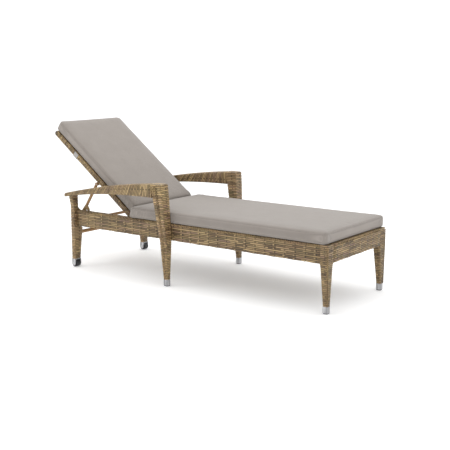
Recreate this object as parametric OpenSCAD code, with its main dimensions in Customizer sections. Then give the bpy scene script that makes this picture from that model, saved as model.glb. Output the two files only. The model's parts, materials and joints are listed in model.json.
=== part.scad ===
// Reclining sun lounger: strand-woven frame on six legs, two arms, a tilting back
// with a U-shaped prop, two small wheels at the head end and a long cushion.
// X runs towards the foot end, Y to the left of the person lying on it, Z up.
// The origin is on the floor, under the middle of the lounger with its back raised.

/* [Seat frame] */
// Length from the foot-end face to the back's hinge line
seat_length = 1331; // [1120:1:1460]
// Width over the two side rails
frame_width = 620; // [520:1:740]
// Height of the top of the side rails above the floor
rail_top = 350; // [300:1:420]
// Depth of the woven side and end rails
rail_height = 98; // [80:1:120]
// Thickness of the woven rails
rail_thickness = 36; // [30:1:42]
// Thickness of the woven strand skin
weave_thickness = 3; // [2:0.5:3.5]
// Height of one tube inside a rail
rail_tube_height = 25; // [20:1:30]
// Wall of the rail and leg tubes
tube_wall = 1.5; // [1:0.5:2.5]
// Thickness of the woven seat deck
deck_thickness = 6; // [4:1:8]
// Number of cross slats under the deck
slat_count = 8; // [6:1:10]
// Width of a cross slat
slat_width = 30; // [20:1:40]
// Height of a cross slat
slat_height = 20; // [15:1:25]

/* [Legs] */
// How far the front of the middle legs stands before the back's hinge line
mid_leg_ahead = 340; // [231:1:531]
// How far the front of the rear legs stands behind the back's hinge line
rear_leg_behind = 417; // [369:1:569]
// Side of the square leg foot
foot_size = 29; // [27:1:34]
// Height of the polished foot cap with its glide
cap_height = 38; // [30:1:50]
// Thickness of the plastic glide under a cap
glide_thickness = 4; // [3:1:6]
// Length of a front leg's top along the side rail
front_leg_length = 48; // [44:1:60]
// Width of a front leg's top across the lounger
front_leg_width = 62; // [54:1:72]
// How far a front foot stands in from the side rail's face
front_foot_inset = 7; // [0:1:12]
// How far a middle foot stands out from the side rail's face
mid_foot_outset = 48; // [40:1:60]
// Thickness of the rear legs along the lounger
rear_leg_thickness = 31; // [28:1:38]
// Side of the square tube inside a leg
leg_tube = 20; // [16:1:20]

/* [Arms] */
// Width of an armrest
arm_width = 70; // [60:1:80]
// How far the arm stands out from the rail's face at the front
arm_outset = 72; // [66:1:84]
// How far the arm's front end stands further out than its rear end
arm_splay = 24; // [10:1:32]
// Height of the top of the arm at the front above the rails
arm_rise_front = 221; // [180:1:290]
// Height of the top of the arm at its rear tip above the rails
arm_rise_rear = 105; // [85:1:130]
// Thickness of the arm at its rear tip
arm_tip_thickness = 24; // [20:1:30]
// Thickness of the arm where it meets the middle post
arm_root_thickness = 78; // [60:1:90]
// How far the arm's tip stands behind the rear leg
arm_overhang = 26; // [10:1:60]
// Side of the square tube inside an arm
arm_tube = 14; // [10:1:14]

/* [Back] */
// Length of the back from its hinge line to its top edge
back_length = 791; // [650:1:860]
// Angle of the raised back above level
back_angle = 37.1; // [34:0.1:40]
// Steepest angle of the back, at which the prop hangs nearly straight down
back_max_angle = 55; // [50:1:56]
// Thickness of the back's frame
back_thickness = 33; // [28:1:36]
// Width of a back side member
back_side_width = 30; // [24:1:34]
// Gap between the back and each side rail
back_gap = 8; // [8:1:12]
// Diameter of the hinge pins
hinge_pin_d = 10; // [8:1:12]
// Clearance of a turning bore on its pin, across the diameter
pin_fit = 0.1; // [0.04:0.02:0.2]

/* [Prop] */
// Distance from the back's hinge line to the prop's pins, along the back
prop_reach = 340; // [320:1:360]
// Distance of the prop's pins below the middle of the back's frame
prop_drop = 30; // [29:1:36]
// Length of the prop from its pins to its cross bar
prop_length = 288; // [284:1:292]
// Angle between the back and the prop while the back stands at its raised angle
prop_angle = 93.85; // [92:0.05:96]
// Turn of the prop on the back for each degree that the back turns
prop_ratio = 2.5; // [2.4:0.05:2.6]
// Diameter of the prop's tube
prop_tube_d = 18; // [14:1:20]
// Wall of the prop's tube
prop_wall = 2; // [1.5:0.5:3]
// Diameter of the prop's pins
prop_pin_d = 8; // [6:1:8]
// Thickness of the notched rack's sheet steel
rack_sheet = 4; // [3:1:5]
// Number of notches in a rack
notch_count = 5; // [3:1:6]
// Room under the cross bar in its notch
notch_room = 1.5; // [1:0.5:3]

/* [Wheels] */
// Diameter of the wheels
wheel_d = 44; // [36:1:50]
// Diameter of the wheel axles
axle_d = 8; // [6:1:10]
// Thickness of the fork's cheeks
fork_sheet = 5; // [3:0.5:6]
// Gap between a wheel and each cheek
wheel_gap = 1; // [0.5:0.5:2]

/* [Cushions] */
// Thickness of both cushions
cushion_thickness = 66; // [45:1:80]
// How far the seat cushion's foot end stands in from the frame
cushion_front_gap = 13; // [5:1:30]
// Room between the seat cushion and each middle post
cushion_side_gap = 2; // [1:1:10]
// Room between the two cushions at the crease with the back at its steepest
crease_room = 1; // [0.6:0.2:6]
// How far the back cushion stands past the back's top edge
back_cushion_overhang = 6; // [0:1:12]
// Corner radius of both cushions, seen from above
cushion_corner = 22; // [10:1:30]
// Width of the elastic strap round the back
strap_width = 36; // [30:1:60]
// Distance of the strap from the hinge line
strap_reach = 570; // [400:1:600]
// Thickness of the strap
strap_thickness = 1.5; // [1:0.5:2]

/* [Hidden] */
$fn = 48;
cut = 1;
slice_film = 0.01;
side_names = [["right", -1], ["left", 1]];
half_width = frame_width / 2;
rail_bottom = rail_top - rail_height;
rail_inner = half_width - rail_thickness;
mid_thickness = back_thickness / 2;
hinge_z = rail_top - mid_thickness;
back_half = rail_inner - back_gap;
back_inner = back_half - back_side_width;

// The lounger's extent along X with the back raised sets the origin.
rear_reach = seat_length + (back_length - mid_thickness) * cos(back_angle) + mid_thickness;
front_x = rear_reach / 2;
hinge_x = front_x - seat_length;
mid_x = hinge_x + mid_leg_ahead;
rear_x = hinge_x - rear_leg_behind;
arm_top_front = rail_top + arm_rise_front;
arm_top_rear = rail_top + arm_rise_rear;

// Arms: the outer face at the front, and the turn in plan that brings the tip in.
arm_tip_x = rear_x - rear_leg_thickness - arm_overhang;
arm_front_x = mid_x - 90;
arm_outer = half_width + arm_outset;
arm_turn = atan(arm_splay / (arm_front_x - arm_tip_x));
arm_low_front = arm_top_front - arm_root_thickness;

// Prop: pins on the back, cross bar in the racks on the side rails.
prop_y = rail_inner - 15;
prop_r = prop_tube_d / 2;
pin_x = -prop_reach;
pin_z = -prop_drop;
function prop_turn(a) = 180 - a + prop_angle + prop_ratio * (a - back_angle);
function pin_at(a) = [hinge_x + pin_x * cos(a) + pin_z * sin(a), hinge_z - pin_x * sin(a) + pin_z * cos(a)];
function bar_at(a) = pin_at(a) + prop_length * [cos(prop_turn(a)), sin(prop_turn(a))];
function notch_angle(i) = back_angle + i * (back_max_angle - back_angle) / (notch_count - 1);
rack_clear = 0.8;
teeth_top = rail_top - back_thickness - 1.5;
rack_end = 14;
rack_rear_x = bar_at(back_angle)[0] - rack_end;
rack_front_x = bar_at(back_max_angle)[0] + rack_end;
rack_inner_y = prop_y - prop_r - 14;
ear_hole_d = 9;
bolt_d = 6;

// Wheels: fork under the rear leg's foot.
fork_width = 47;
fork_outer = half_width + 22;
fork_inner = fork_outer - fork_width;
fork_top = wheel_d + 6;
fork_plate = 4;
wheel_x = rear_x - rear_leg_thickness / 2;
wheel_z = wheel_d / 2;

// ---------- shared shapes ----------

// A box from its lowest to its highest corner.
module block(low, high) {
    translate(low) cube(high - low);
}

// A block with rounded upright edges.
module rounded_block(low, high, r) {
    translate([0, 0, low[2]]) linear_extrude(high[2] - low[2]) rounded_outline(low, high, r);
}

module rounded_outline(low, high, r) {
    translate([low[0] + r, low[1]]) square([high[0] - low[0] - 2 * r, high[1] - low[1]]);
    translate([low[0], low[1] + r]) square([high[0] - low[0], high[1] - low[1] - 2 * r]);
    for (x = [low[0] + r, high[0] - r], y = [low[1] + r, high[1] - r]) translate([x, y]) circle(r);
}

// A round bar along Y between two values of y.
module bar_y(x, z, d, y0, y1) {
    translate([x, y1, z]) rotate([90, 0, 0]) cylinder(d = d, h = y1 - y0);
}

// Draws its children on the left side, or mirrored on the right.
module on_side(side) {
    if (side > 0) children();
    else mirror([0, 1, 0]) children();
}

// A tapering member through slices [z, x0, x1, y0, y1].
module tapered(slices) {
    for (i = [0 : len(slices) - 2]) hull() {
        slice(slices[i], 0);
        slice(slices[i + 1], -slice_film);
    }
}

module slice(s, drop) {
    translate([s[1], s[3], s[0] + drop]) cube([s[2] - s[1], s[4] - s[3], slice_film]);
}

// A straight square bar between the centres of its ends, leaning without twisting.
module leaning_bar(ends, width, past = 0) {
    run = ends[1] - ends[0];
    translate(ends[0]) rotate([-asin(run[1] / norm(run)), atan2(run[0], run[2]), 0])
        translate([-width / 2, -width / 2, -past]) cube([width, width, norm(run) + 2 * past]);
}

// ---------- legs ----------

front_foot_y = half_width - front_foot_inset;
cap_floor = glide_thickness + 2;
front_tube = [[front_x - foot_size / 2, front_foot_y - foot_size / 2, cap_floor],
              [front_x - foot_size / 2, front_foot_y - foot_size / 2, rail_top - weave_thickness]];
front_slices = [
    [cap_height, front_x - foot_size, front_x, front_foot_y - foot_size, front_foot_y],
    [rail_bottom, front_x - front_leg_length, front_x, half_width - front_leg_width, half_width],
    [rail_top, front_x - front_leg_length, front_x, half_width - front_leg_width, half_width]];

mid_foot_y = half_width + mid_foot_outset;
// The middle post leans back and swells from the foot to the arm: how far its front
// and its rear face stand behind the foot's front at the rail's foot and top and at the arm's.
post_front = [2, 7, 16, 23];
post_rear = [50, 62, 84, 100];
post_swell = [5, 14];
mid_slices = [
    [cap_height, mid_x - foot_size, mid_x, mid_foot_y - foot_size, mid_foot_y],
    [rail_bottom, mid_x - post_rear[0], mid_x - post_front[0], half_width, mid_foot_y + post_swell[0]],
    [rail_top, mid_x - post_rear[1], mid_x - post_front[1], half_width, mid_foot_y + post_swell[1]],
    [arm_low_front, mid_x - post_rear[2], mid_x - post_front[2], half_width + 1, arm_outer - 2],
    [arm_top_front, mid_x - post_rear[3], mid_x - post_front[3], arm_outer - arm_width, arm_outer]];
mid_tube_top = [mid_x - 56, mid_foot_y - 10, arm_top_front - 15];
mid_tube = [[mid_x - foot_size / 2, mid_foot_y - foot_size / 2, cap_floor], mid_tube_top];

rear_top_inner = arm_outer - arm_splay - arm_width + 3;
rear_outline = [
    [fork_inner, fork_top], [rail_inner - 14, rail_bottom - 14], [rail_inner, rail_bottom],
    [rail_inner, rail_top], [rear_top_inner, rail_top + 16], [rear_top_inner, arm_top_rear],
    [fork_outer + 14, arm_top_rear], [fork_outer, rail_top + 30], [fork_outer, fork_top]];
rear_tube = [[wheel_x, half_width - 2, fork_top + 1], [wheel_x, half_width + 4, arm_top_rear - 20]];

module front_leg(side) {
    color("peru") on_side(side) difference() {
        tapered(front_slices);
        leaning_bar(front_tube, leg_tube);
    }
}

module mid_leg(side) {
    color("peru") on_side(side) difference() {
        tapered(mid_slices);
        leaning_bar(mid_tube, leg_tube);
    }
}

module rear_leg(side) {
    color("peru") on_side(side) difference() {
        rear_leg_outside();
        arm_outside();
        leaning_bar(rear_tube, leg_tube);
    }
}

module rear_leg_outside() {
    translate([rear_x - rear_leg_thickness, 0, 0]) rotate([90, 0, 90])
        linear_extrude(rear_leg_thickness) polygon(rear_outline);
}

module hollow_tube(ends) {
    difference() {
        leaning_bar(ends, leg_tube);
        leaning_bar(ends, leg_tube - 2 * tube_wall, cut);
    }
}

module leg_tubes(side) {
    color("dimgray") on_side(side) {
        hollow_tube(front_tube);
        hollow_tube(mid_tube);
        difference() {
            hollow_tube(rear_tube);
            arm_outside();
        }
    }
}

module foot_cap(x, y, tube, side) {
    color("silver") on_side(side) difference() {
        rounded_block([x - foot_size, y - foot_size, glide_thickness], [x, y, cap_height], 4);
        leaning_bar(tube, leg_tube);
    }
}

module foot_glide(x, y, side) {
    color("black") on_side(side)
        rounded_block([x - foot_size + 2, y - foot_size + 2, 0], [x - 2, y - 2, glide_thickness], 4);
}

// ---------- arms ----------

function bend(p, t) = (1 - t) * (1 - t) * p[0] + 2 * t * (1 - t) * p[1] + t * t * p[2];
arm_run = arm_front_x - arm_tip_x;
arm_top_line = [[arm_tip_x, arm_top_rear], [arm_tip_x + 0.53 * arm_run, arm_top_front - 26],
                [arm_front_x, arm_top_front - 1]];
arm_low_line = [[arm_tip_x, arm_top_rear - arm_tip_thickness], [arm_tip_x + 0.42 * arm_run, arm_low_front],
                [arm_front_x, arm_low_front]];
arm_steps = 12;
arm_outline = concat([for (i = [0 : arm_steps]) bend(arm_top_line, i / arm_steps)],
                     [for (i = [arm_steps : -1 : 0]) bend(arm_low_line, i / arm_steps)]);
// The tube's middle follows the arm: heights at its tip, its middle and the post.
arm_tube_z = [arm_top_rear - 2, arm_top_rear + 44, arm_top_front - 46];
arm_tube_start = 40;
arm_tube_end = 22;

module in_arm() {
    translate([arm_front_x, arm_outer, 0]) rotate([0, 0, arm_turn]) translate([-arm_front_x, -arm_width, 0])
        children();
}

module arm_outside() {
    in_arm() translate([0, arm_width, 0]) rotate([90, 0, 0]) linear_extrude(arm_width) polygon(arm_outline);
}

module arm_tube_shape(side_length) {
    in_arm() for (i = [0, 1]) hull() {
        arm_tube_slice(i, side_length);
        arm_tube_slice(i + 1, side_length);
    }
}

module arm_tube_slice(i, side_length) {
    step = (arm_run - arm_tube_start - arm_tube_end) / 2;
    translate([arm_tip_x + arm_tube_start + i * step, (arm_width - side_length) / 2,
               arm_tube_z[i] - side_length / 2]) cube([slice_film, side_length, side_length]);
}

module armrest(side) {
    color("peru") on_side(side) difference() {
        arm_outside();
        tapered(mid_slices);
        arm_tube_shape(arm_tube);
    }
}

module arm_tube_piece(side) {
    color("dimgray") on_side(side) difference() {
        arm_tube_shape(arm_tube);
        tapered(mid_slices);
    }
}

// ---------- rails, deck and stretcher ----------

rail_front_x = front_x - front_leg_length;
front_rail_half = half_width - front_leg_width;

// A box section along X or Y, open at both ends.
module box_section(low, high, along, wall) {
    inset = wall * [along == "y" ? 1 : 0, along == "x" ? 1 : 0, 1];
    past = cut * [along == "x" ? 1 : 0, along == "y" ? 1 : 0, 0];
    difference() {
        block(low, high);
        block(low + inset - past, high - inset + past);
    }
}

module side_rail(side) {
    color("peru") on_side(side)
        box_section([rear_x, rail_inner, rail_bottom], [rail_front_x, half_width, rail_top],
                    "x", weave_thickness);
}

rail_tube_z = [rail_bottom + weave_thickness, rail_top - weave_thickness - rail_tube_height];

module rail_tubes(side) {
    color("dimgray") on_side(side) for (z = rail_tube_z)
        box_section([rear_x, rail_inner + weave_thickness, z],
                    [rail_front_x, half_width - weave_thickness, z + rail_tube_height], "x", tube_wall);
}

module front_rail() {
    color("peru") box_section([front_x - rail_thickness, -front_rail_half, rail_bottom],
                              [front_x, front_rail_half, rail_top], "y", weave_thickness);
}

module front_tubes() {
    color("dimgray") for (z = rail_tube_z)
        box_section([front_x - rail_thickness + weave_thickness, -front_rail_half, z],
                    [front_x - weave_thickness, front_rail_half, z + rail_tube_height], "y", tube_wall);
}

stretcher_d = 22;
stretcher_z = rail_bottom - 43;

module rear_stretcher() {
    color("saddlebrown") difference() {
        bar_y(wheel_x, stretcher_z, stretcher_d, -rail_inner, rail_inner);
        for (side = [-1, 1]) on_side(side) rear_leg_outside();
    }
}

deck_rear_x = hinge_x + mid_thickness + 8;
deck_front_x = front_x - rail_thickness;
slat_end_gap = 25;

module seat_deck() {
    color("tan") difference() {
        block([deck_rear_x, -rail_inner, rail_top - deck_thickness], [deck_front_x, rail_inner, rail_top]);
        for (side = [-1, 1]) on_side(side) tapered(front_slices);
    }
}

module deck_slats() {
    first = deck_rear_x + slat_end_gap;
    step = (deck_front_x - slat_end_gap - slat_width - first) / (slat_count - 1);
    color("dimgray") for (i = [0 : slat_count - 1])
        box_section([first + i * step, -rail_inner, rail_top - deck_thickness - slat_height],
                    [first + i * step + slat_width, rail_inner, rail_top - deck_thickness], "y", tube_wall);
}

// ---------- hinge ----------

hinge_plate_sheet = 4;
plate_y = rail_inner - hinge_plate_sheet;

module hinge_plate(side) {
    color("gray") on_side(side) difference() {
        translate([0, rail_inner, 0]) rotate([90, 0, 0]) linear_extrude(hinge_plate_sheet) {
            translate([hinge_x, hinge_z]) circle(mid_thickness);
            translate([hinge_x - mid_thickness, rail_bottom + 20])
                square([2 * mid_thickness, hinge_z - rail_bottom - 20]);
        }
        bar_y(hinge_x, hinge_z, hinge_pin_d, plate_y - cut, rail_inner + cut);
    }
}

module hinge_pin(side) {
    color("silver") on_side(side) {
        bar_y(hinge_x, hinge_z, hinge_pin_d, back_inner - 4.5, rail_inner);
        bar_y(hinge_x, hinge_z, hinge_pin_d + 8, back_half + 0.3, plate_y);
        bar_y(hinge_x, hinge_z, hinge_pin_d + 6, back_inner - 4.5, back_inner - 0.5);
    }
}

// ---------- racks ----------

module rack(side) {
    color("dimgray") on_side(side) difference() {
        union() {
            block([rack_rear_x, rail_inner - rack_sheet, rail_bottom],
                  [rack_front_x, rail_inner, rail_top - weave_thickness]);
            block([rack_rear_x, rack_inner_y, rail_bottom],
                  [rack_front_x, rail_inner, rail_bottom + rack_sheet]);
            rack_teeth();
            rack_ear();
        }
        for (x = rack_bolt_x) bar_y(x, rack_bolt_z, bolt_d, rail_inner - rack_sheet - cut, rail_inner + cut);
        bar_y(ear_x, ear_z, ear_hole_d, rail_inner - rack_sheet - cut, rail_inner + cut);
    }
}

ear_setback = 95.2;
bolt_setback = 74.2;
rack_bolt_first = rack_rear_x + bolt_setback;
rack_bolt_last = rack_front_x - 25;
rack_bolt_x = [rack_bolt_first, (rack_bolt_first + rack_bolt_last) / 2, rack_bolt_last];
rack_bolt_z = rail_top - 25;
ear_x = rack_rear_x + ear_setback;
ear_z = rail_top - 1;

// The toothed edge follows the cross bar's way, dipping where the bar rests.
module rack_teeth() {
    turns = [for (a = [back_angle - 4 : 1 : back_max_angle + 3]) a];
    edge = [for (a = turns) bar_at(a) - [0, prop_r + rack_clear]];
    translate([0, rack_inner_y + rack_sheet, 0]) rotate([90, 0, 0]) linear_extrude(rack_sheet) difference() {
        intersection() {
            polygon(concat([[edge[0][0], rail_bottom]], edge, [[edge[len(edge) - 1][0], rail_bottom]]));
            translate([rack_rear_x, rail_bottom])
                square([rack_front_x - rack_rear_x, teeth_top - rail_bottom]);
        }
        for (i = [0 : notch_count - 1])
            translate(bar_at(notch_angle(i)) - [0, notch_room]) circle(prop_r + 0.3);
    }
}

// The ear above the rail, which the bolt hole goes through: its outline round the hole's place.
module rack_ear() {
    translate([0, rail_inner, 0]) rotate([90, 0, 0]) linear_extrude(rack_sheet)
        translate([ear_x, rail_top])
            polygon([[-46, -10], [22, -10], [22, 8], [12, 24], [-2, 34], [-14, 30]]);
}

module rack_bolts() {
    color("silver") for (side = [-1, 1]) on_side(side) for (x = rack_bolt_x) {
        bar_y(x, rack_bolt_z, bolt_d, rail_inner - rack_sheet - 1, rail_inner);
        bar_y(x, rack_bolt_z, bolt_d + 5, rail_inner - rack_sheet - 1.5, rail_inner - rack_sheet);
    }
}

// ---------- wheels ----------

module wheel_fork(side) {
    color("silver") on_side(side) difference() {
        union() {
            block([rear_x - rear_leg_thickness, fork_inner, fork_top - fork_plate],
                  [rear_x, fork_outer, fork_top]);
            for (y = [fork_inner + fork_sheet, fork_outer]) translate([wheel_x, y, 0])
                rotate([90, 0, 0]) linear_extrude(fork_sheet) fork_cheek();
        }
        bar_y(wheel_x, wheel_z, axle_d, fork_inner - cut, fork_outer + cut);
    }
}

module fork_cheek() {
    translate([0, wheel_z]) circle(rear_leg_thickness / 2);
    translate([-rear_leg_thickness / 2, wheel_z])
        square([rear_leg_thickness, fork_top - fork_plate - wheel_z]);
}

module wheel_axle(side) {
    color("gray") on_side(side) {
        bar_y(wheel_x, wheel_z, axle_d, fork_inner - 1.5, fork_outer + 1.5);
        bar_y(wheel_x, wheel_z, axle_d + 4, fork_inner - 1.5, fork_inner);
        bar_y(wheel_x, wheel_z, axle_d + 4, fork_outer, fork_outer + 1.5);
    }
}

module wheel(side) {
    low_y = fork_inner + fork_sheet + wheel_gap;
    high_y = fork_outer - fork_sheet - wheel_gap;
    r = wheel_d / 2;
    color("black") on_side(side) translate([wheel_x, high_y, wheel_z]) rotate([90, 0, 0])
        rotate_extrude() polygon([[(axle_d + pin_fit) / 2, 0], [r - 2, 0], [r, 2], [r, high_y - low_y - 2],
                                  [r - 2, high_y - low_y], [(axle_d + pin_fit) / 2, high_y - low_y]]);
}

// ---------- cushions ----------

// Both cushions are cut back at the crease, so that they just meet at the steepest angle.
crease_slope = tan(back_max_angle / 2);
crease_low = mid_thickness * crease_slope + crease_room / 2;
crease_high = (mid_thickness + cushion_thickness) * crease_slope + crease_room / 2;

// The side outline of a cushion: level, with its crease end at x = 0 leaning away.
module crease_outline(length) {
    polygon([[crease_low, mid_thickness], [length, mid_thickness],
             [length, mid_thickness + cushion_thickness], [crease_high, mid_thickness + cushion_thickness]]);
}

module cushion(length, width) {
    intersection() {
        translate([0, width / 2, 0]) rotate([90, 0, 0]) linear_extrude(width) crease_outline(length);
        rounded_block([-cushion_corner, -width / 2, 0],
                      [length, width / 2, mid_thickness + 2 * cushion_thickness], cushion_corner);
    }
}

module seat_cushion() {
    color("rosybrown") translate([hinge_x, 0, hinge_z])
        cushion(seat_length - cushion_front_gap, frame_width - 2 * cushion_side_gap);
}

// ---------- back, drawn level with its hinge line at the origin ----------

module on_back() {
    translate([hinge_x, 0, hinge_z]) rotate([0, back_angle, 0]) children();
}

module back_side(side) {
    color("peru") on_back() on_side(side) difference() {
        union() {
            bar_y(0, 0, back_thickness, back_inner, back_half);
            block([-back_length + back_thickness, back_inner, -mid_thickness], [0, back_half, mid_thickness]);
        }
        bar_y(0, 0, hinge_pin_d + pin_fit, back_inner - cut, back_half + cut);
    }
}

module back_top_rail() {
    color("peru") on_back() {
        bar_y(-back_length + mid_thickness, 0, back_thickness, -back_half, back_half);
        block([-back_length + mid_thickness, -back_half, -mid_thickness],
              [-back_length + back_thickness, back_half, mid_thickness]);
    }
}

bottom_rail_start = 22;
bottom_rail_width = 28;
panel_thickness = 6;
back_slat_low = 4 - mid_thickness;

module back_bottom_rail() {
    color("peru") on_back() block([-bottom_rail_start - bottom_rail_width, -back_inner, -mid_thickness],
                                  [-bottom_rail_start, back_inner, mid_thickness]);
}

module back_panel() {
    color("tan") on_back() block(
        [-back_length + back_thickness, -back_inner, mid_thickness - panel_thickness],
        [-bottom_rail_start - bottom_rail_width, back_inner, mid_thickness]);
}

module back_slats() {
    slats = 4;
    first = bottom_rail_start + bottom_rail_width;
    step = (back_length - back_thickness - first) / (slats + 1);
    color("dimgray") on_back() for (i = [1 : slats])
        box_section([-first - i * step - slat_width / 2, -back_inner, back_slat_low],
                    [-first - i * step + slat_width / 2, back_inner, mid_thickness - panel_thickness],
                    "y", tube_wall);
}

bracket_sheet = 5;
bracket_y = prop_y - prop_r - 0.5 - bracket_sheet;

module prop_bracket(side) {
    color("gray") on_back() on_side(side) difference() {
        translate([0, bracket_y + bracket_sheet, 0]) rotate([90, 0, 0]) linear_extrude(bracket_sheet) {
            translate([pin_x, pin_z]) circle(10);
            translate([pin_x - 10, pin_z]) square([20, prop_drop - mid_thickness]);
        }
        bar_y(pin_x, pin_z, prop_pin_d, bracket_y - cut, bracket_y + bracket_sheet + cut);
    }
}

module prop_pin(side) {
    color("silver") on_back() on_side(side) {
        bar_y(pin_x, pin_z, prop_pin_d, bracket_y - 3, prop_y + prop_r - 0.5);
        bar_y(pin_x, pin_z, prop_pin_d + 5, bracket_y - 3, bracket_y);
    }
}

module back_cushion() {
    color("rosybrown") on_back() mirror([1, 0, 0])
        cushion(back_length + back_cushion_overhang, 2 * back_half - 2);
}

module cushion_strap() {
    low_x = -strap_reach - strap_width / 2;
    high_x = -strap_reach + strap_width / 2;
    color("lightgray") on_back() difference() {
        block([low_x, -back_half - strap_thickness, -mid_thickness - strap_thickness],
              [high_x, back_half + strap_thickness, mid_thickness]);
        block([low_x - cut, -back_half, -mid_thickness], [high_x + cut, back_half, mid_thickness + cut]);
    }
}

// ---------- prop, drawn along X with its pins at the origin ----------

module on_prop() {
    pin = pin_at(back_angle);
    translate([pin[0], 0, pin[1]]) rotate([0, -prop_turn(back_angle), 0]) children();
}

module prop_arm(side) {
    color("chocolate") on_prop() on_side(side) difference() {
        union() {
            bar_y(0, 0, prop_tube_d, prop_y - prop_r, prop_y + prop_r);
            translate([0, prop_y, 0]) rotate([0, 90, 0]) cylinder(d = prop_tube_d, h = prop_length);
        }
        bar_y(0, 0, prop_pin_d + pin_fit, prop_y - prop_r - cut, prop_y + prop_r + cut);
        bar_y(prop_length, 0, prop_tube_d, prop_y - prop_r - cut, prop_y + prop_r + cut);
        translate([prop_r + 4, prop_y, 0]) rotate([0, 90, 0])
            cylinder(d = prop_tube_d - 2 * prop_wall, h = prop_length);
    }
}

module prop_crossbar() {
    color("chocolate") on_prop() difference() {
        bar_y(prop_length, 0, prop_tube_d, -prop_y - prop_r, prop_y + prop_r);
        bar_y(prop_length, 0, prop_tube_d - 2 * prop_wall, -prop_y - prop_r - cut, prop_y + prop_r + cut);
    }
}

// ---------- the pieces ----------

for (s = side_names) {
    side_rail(s[1]);
    front_leg(s[1]);
    mid_leg(s[1]);
    rear_leg(s[1]);
    armrest(s[1]);
    rail_tubes(s[1]);
    leg_tubes(s[1]);
    arm_tube_piece(s[1]);
    foot_cap(front_x, front_foot_y, front_tube, s[1]);
    foot_cap(mid_x, mid_foot_y, mid_tube, s[1]);
    foot_glide(front_x, front_foot_y, s[1]);
    foot_glide(mid_x, mid_foot_y, s[1]);
    wheel_fork(s[1]);
    wheel_axle(s[1]);
    wheel(s[1]);
    hinge_plate(s[1]);
    hinge_pin(s[1]);
    rack(s[1]);
    back_side(s[1]);
    prop_bracket(s[1]);
    prop_pin(s[1]);
    prop_arm(s[1]);
}
front_rail();
front_tubes();
rear_stretcher();
seat_deck();
deck_slats();
rack_bolts();
seat_cushion();
back_top_rail();
back_bottom_rail();
back_panel();
back_slats();
back_cushion();
cushion_strap();
prop_crossbar();
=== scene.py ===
import json
import math

import bpy
import numpy as np
from mathutils import Matrix, Vector
from mathutils.bvhtree import BVHTree


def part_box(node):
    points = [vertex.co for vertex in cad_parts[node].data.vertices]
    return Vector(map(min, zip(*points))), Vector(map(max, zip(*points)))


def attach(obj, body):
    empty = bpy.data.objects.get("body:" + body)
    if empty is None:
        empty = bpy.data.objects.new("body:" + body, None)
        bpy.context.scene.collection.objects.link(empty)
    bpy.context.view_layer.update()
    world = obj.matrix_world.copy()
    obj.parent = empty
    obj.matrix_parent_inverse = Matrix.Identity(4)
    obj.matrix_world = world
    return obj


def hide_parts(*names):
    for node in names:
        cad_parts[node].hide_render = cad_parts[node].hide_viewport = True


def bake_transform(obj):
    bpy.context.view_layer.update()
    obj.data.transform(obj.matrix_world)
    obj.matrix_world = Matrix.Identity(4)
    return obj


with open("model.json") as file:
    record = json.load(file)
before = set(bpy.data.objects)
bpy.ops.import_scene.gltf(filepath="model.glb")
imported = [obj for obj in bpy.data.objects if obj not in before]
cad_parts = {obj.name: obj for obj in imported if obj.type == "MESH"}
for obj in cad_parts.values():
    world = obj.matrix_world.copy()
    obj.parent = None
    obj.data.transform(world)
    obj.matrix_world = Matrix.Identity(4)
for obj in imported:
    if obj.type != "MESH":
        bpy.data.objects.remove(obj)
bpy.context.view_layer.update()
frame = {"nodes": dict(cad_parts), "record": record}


# ---------------------------------------------------------------- room
# The lounger stands on a plain pale studio floor that runs out of sight, under soft
# lights: a wide one overhead, a key from the upper left and a weak fill from the front.
def deselect():
    bpy.ops.object.select_all(action="DESELECT")


def new_material(name, base, roughness, metallic=0.0):
    material = bpy.data.materials.new(name)
    material.use_nodes = True
    shader = material.node_tree.nodes["Principled BSDF"]
    shader.inputs["Base Color"].default_value = (*base, 1.0)
    shader.inputs["Roughness"].default_value = roughness
    shader.inputs["Metallic"].default_value = metallic
    return material, material.node_tree, shader


deselect()
bpy.ops.mesh.primitive_plane_add(size=60, location=(0, 0, -0.0005))
floor = bpy.context.object
floor.name = "studio_floor"
floor_material, _, floor_shader = new_material("pale_floor", (0.94, 0.94, 0.94), 0.8)
floor_shader.inputs["Specular IOR Level"].default_value = 0.1
floor_shader.inputs["Emission Color"].default_value = (0.96, 0.98, 1.0, 1.0)
floor_shader.inputs["Emission Strength"].default_value = 0.17
floor.data.materials.append(floor_material)
bpy.context.scene.view_settings.view_transform = "Standard"

world = bpy.data.worlds.new("studio")
bpy.context.scene.world = world
world.use_nodes = True
world.node_tree.nodes["Background"].inputs["Color"].default_value = (1.0, 1.0, 1.0, 1.0)
world.node_tree.nodes["Background"].inputs["Strength"].default_value = 1.12


def softbox(name, place, aim, size, power, tint=(1.0, 1.0, 1.0)):
    light = bpy.data.lights.new(name, "AREA")
    light.shape = "RECTANGLE"
    light.size, light.size_y = size
    light.energy = power
    light.color = tint
    box = bpy.data.objects.new(name, light)
    bpy.context.scene.collection.objects.link(box)
    box.location = place
    box.rotation_euler = (Vector(aim) - Vector(place)).to_track_quat("-Z", "Y").to_euler()


softbox("overhead_softbox", (-0.3, 0.5, 3.6), (0.1, 0.0, 0.3), (4.0, 3.0), 45)
softbox("key_softbox", (-2.2, -2.6, 2.6), (0.0, 0.0, 0.4), (1.6, 1.6), 14)
softbox("front_fill", (3.4, -1.6, 1.4), (0.3, 0.0, 0.4), (1.5, 1.5), 3)

camera_data = bpy.data.cameras.new("camera")
camera_data.sensor_width = 36.0
camera_data.lens = 69.23
camera_data.clip_end = 200.0
camera = bpy.data.objects.new("camera", camera_data)
bpy.context.scene.collection.objects.link(camera)
foot_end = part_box("front_leg_left")[1].x
camera.location = (foot_end + 2.0639, -3.9161, 1.2281)
camera.rotation_euler = (math.radians(90 - 10.63), 0.0, math.radians(36.72))
bpy.context.scene.camera = camera


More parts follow.
